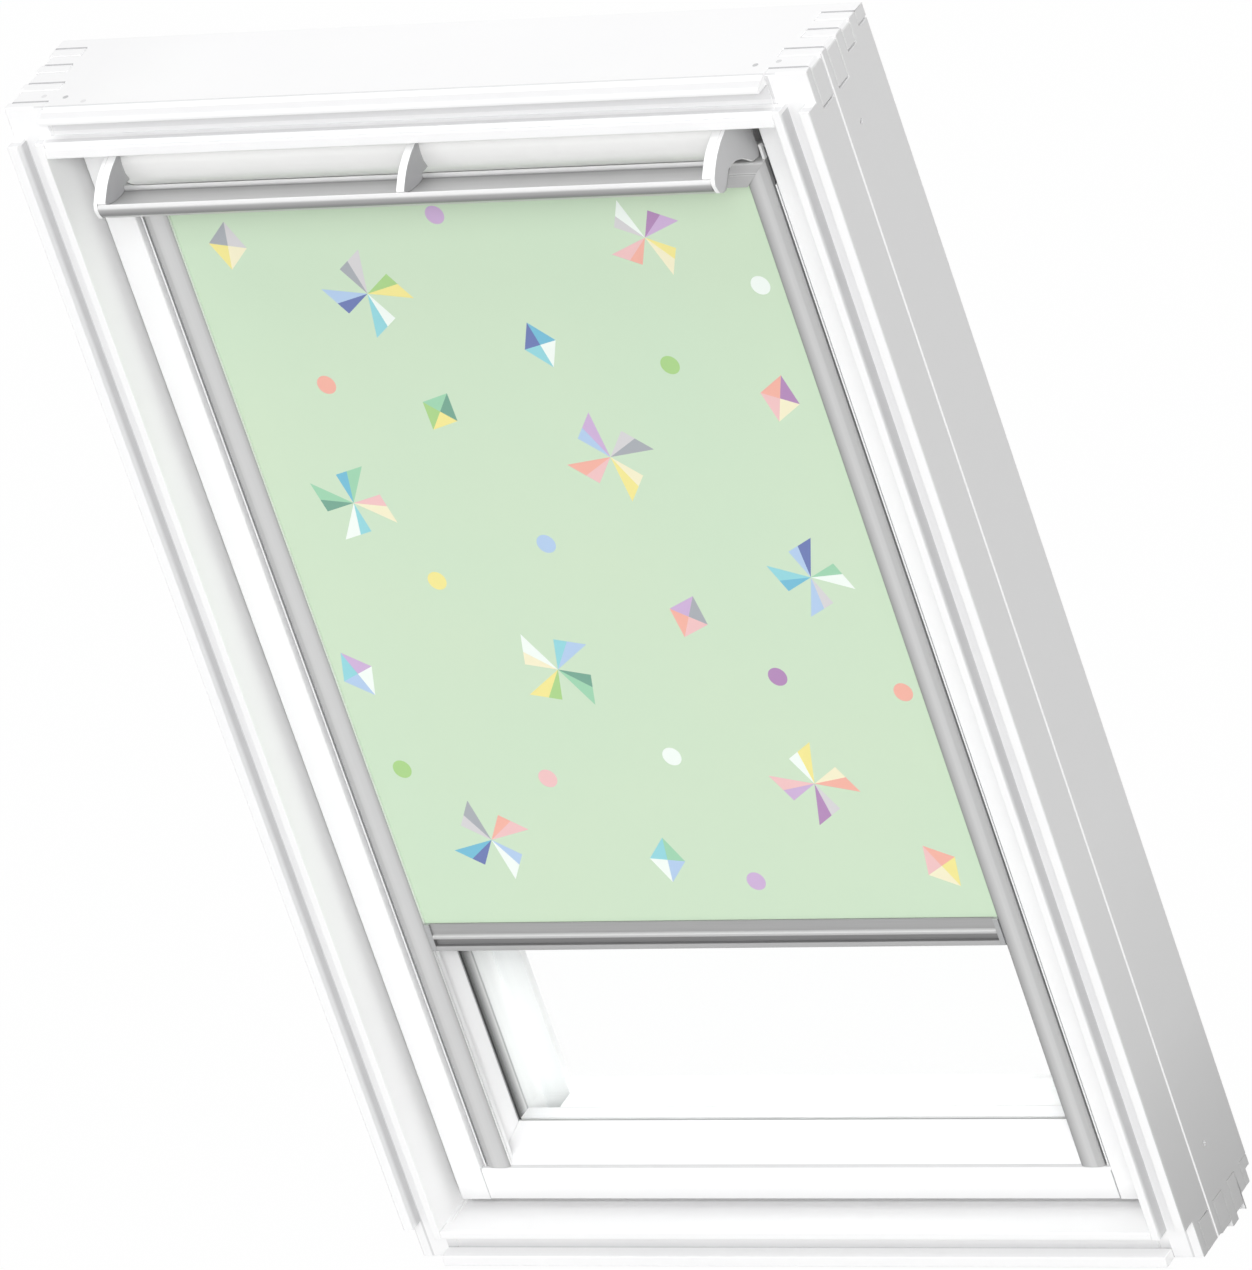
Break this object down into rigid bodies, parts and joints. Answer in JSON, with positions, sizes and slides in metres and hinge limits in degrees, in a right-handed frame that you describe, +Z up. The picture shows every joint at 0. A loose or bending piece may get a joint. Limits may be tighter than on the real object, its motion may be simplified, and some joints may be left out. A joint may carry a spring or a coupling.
{
  "type": "skylight window blind",
  "caption": "White centre-pivot roof window with a roller blind on its sash, a vent flap and a top control bar.",
  "frame": {"origin": "middle of the flat rib face under the frame", "axes": "+Z up along the window, +Y out of the room through the glass, +X to the right seen from the room"},
  "size_m": [0.78, 0.1629, 1.1865],
  "materials": {
    "white_paint": "white painted timber, satin",
    "pale_cladding": "pale lacquered sheet",
    "steel": "zinc plated",
    "glass": "clear",
    "spacer_metal": "matt",
    "black_rubber": "matt",
    "pale_rubber": "matt",
    "filter_foam": "open cell foam",
    "aluminium": "satin anodised",
    "white_plastic": "smooth moulded",
    "blind_fabric": "coated blackout cloth, printed"
  },
  "bodies": {
    "frame": {"frame_side_left": "white_paint", "frame_side_right": "white_paint", "frame_top": "white_paint", "frame_bottom": "white_paint", "frame_cladding_left": "pale_cladding", "frame_cladding_right": "pale_cladding", "frame_cladding_bottom": "pale_cladding", "frame_cladding_top": "pale_cladding", "pivot_plate_left": "steel", "pivot_plate_right": "steel", "latch_striker": "steel"},
    "sash": {"pivot_bush_left": "steel", "pivot_bush_right": "steel", "sash_stile_left": "white_paint", "sash_stile_right": "white_paint", "sash_top": "white_paint", "sash_bottom": "white_paint", "glass_inner": "glass", "glass_outer": "glass", "glass_spacer": "spacer_metal", "glazing_seal": "black_rubber", "weather_seal_left": "pale_rubber", "weather_seal_right": "pale_rubber", "weather_seal_bottom": "pale_rubber", "sash_cover_left": "pale_cladding", "sash_cover_right": "pale_cladding", "sash_cover_bottom": "pale_cladding", "sash_cover_top": "pale_cladding", "latch_case": "steel", "vent_filter_left": "filter_foam", "vent_filter_right": "filter_foam", "blind_rail_left": "aluminium", "blind_rail_right": "aluminium", "blind_casing": "aluminium", "blind_casing_end_left": "white_plastic", "blind_casing_end_right": "white_plastic", "roller_shaft": "steel", "roller_spring": "steel"},
    "control_bar": {"vent_flap": "white_plastic", "control_bar": "aluminium", "flap_fin_middle": "white_plastic", "flap_end_left": "white_plastic", "flap_end_right": "white_plastic", "hinge_pin_left": "steel", "hinge_pin_right": "steel"},
    "latch_bolt": {"latch_bolt": "steel"},
    "blind_roller": {"roller_tube": "aluminium", "roller_winding": "blind_fabric", "roller_plug_left": "white_plastic", "roller_plug_right": "white_plastic"},
    "blind_bar": {"blind_bar": "aluminium", "blind_glider_left": "white_plastic", "blind_glider_right": "white_plastic", "blind_fabric": "blind_fabric"}
  },
  "joints": [
    {"name": "sash_pivot", "type": "hinge", "parent": "frame", "child": "sash", "pos_m": [0, -0.01425, 0.59405], "axis": [1, 0, 0], "range_deg": [0, 160]},
    {"name": "control_bar_hinge", "type": "hinge", "parent": "sash", "child": "control_bar", "pos_m": [0, -0.04425, 1.1255], "axis": [1, 0, 0], "range_deg": [0, 40]},
    {"name": "latch_bolt_slide", "type": "slide", "parent": "sash", "child": "latch_bolt", "axis": [0, 0, 1], "range_m": [-0.0065, 0.0002]},
    {"name": "blind_slide", "type": "slide", "parent": "sash", "child": "blind_bar", "axis": [0, 0, 1], "range_m": [-0.22, 0.715], "deforming": ["blind_fabric"]},
    {"name": "roller_turn", "type": "hinge", "parent": "sash", "child": "blind_roller", "pos_m": [0, -0.03375, 1.079], "axis": [1, 0, 0], "range_deg": [-4830, 1490]}
  ],
  "couplings": [
    {"joint": "latch_bolt_slide", "follows": "control_bar_hinge", "m_per_rad": -0.009},
    {"joint": "roller_turn", "follows": "blind_slide", "rad_per_m": -117.65}
  ]
}
